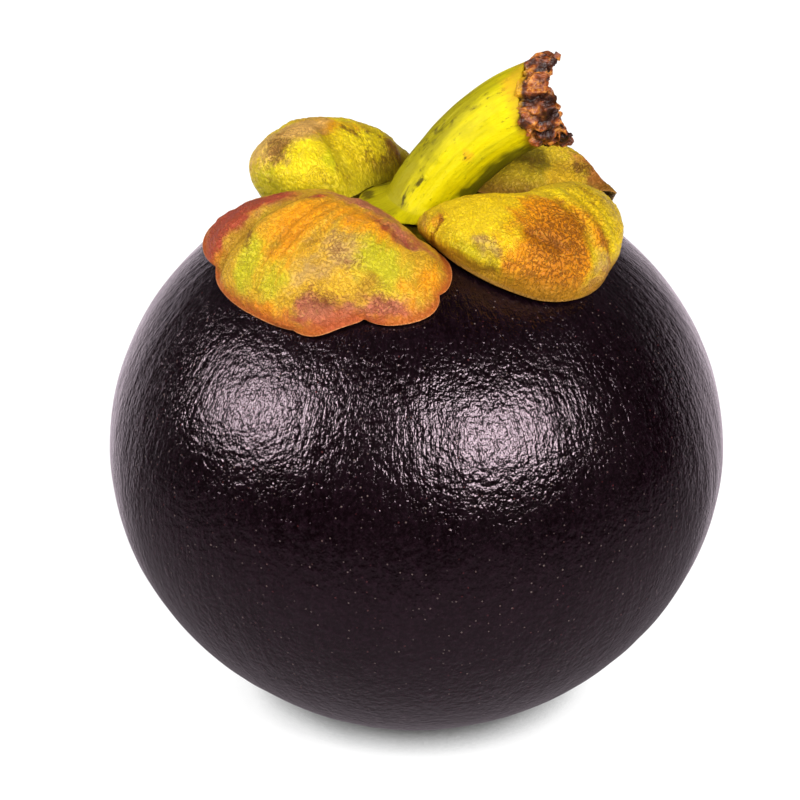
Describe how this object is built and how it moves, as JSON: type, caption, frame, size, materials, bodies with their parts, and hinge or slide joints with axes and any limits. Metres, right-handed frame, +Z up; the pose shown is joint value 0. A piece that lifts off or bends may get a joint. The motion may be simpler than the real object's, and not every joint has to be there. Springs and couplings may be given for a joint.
{
  "type": "mangosteen",
  "caption": "Round, glossy, dark purple mangosteen fruit with a calyx of curled green-gold sepals round a bent, torn stem, resting on its woody stigma rosette.",
  "frame": {"origin": "centre of the flat underside of the stigma rosette, on the floor", "axes": "+Z up through the middle of the fruit; the stem leans towards +X, and -Y is the front, where the two broad sepals are"},
  "size_m": [0.062, 0.062, 0.0711],
  "materials": {
    "rind_skin": "glossy, finely pebbled",
    "stem_skin": "smooth, fresh, yellow-green",
    "dried_tissue": "torn, dried, brown",
    "rosette_cork": "dry and corky",
    "sepal_orange": "satin, leathery, with red-orange margins",
    "sepal_gold": "satin, leathery, with an orange-brown corky patch",
    "sepal_yellow": "satin, leathery, wrinkled near the stem",
    "sepal_olive": "satin, leathery, with a reddish tip"
  },
  "bodies": {
    "root": {"rind": "rind_skin", "stem": "stem_skin", "torn_stem_end": "dried_tissue", "stigma_rosette": "rosette_cork", "sepal_front_left": "sepal_orange", "sepal_front_right": "sepal_gold", "sepal_back_left": "sepal_yellow", "sepal_back_right": "sepal_olive"}
  },
  "joints": []
}
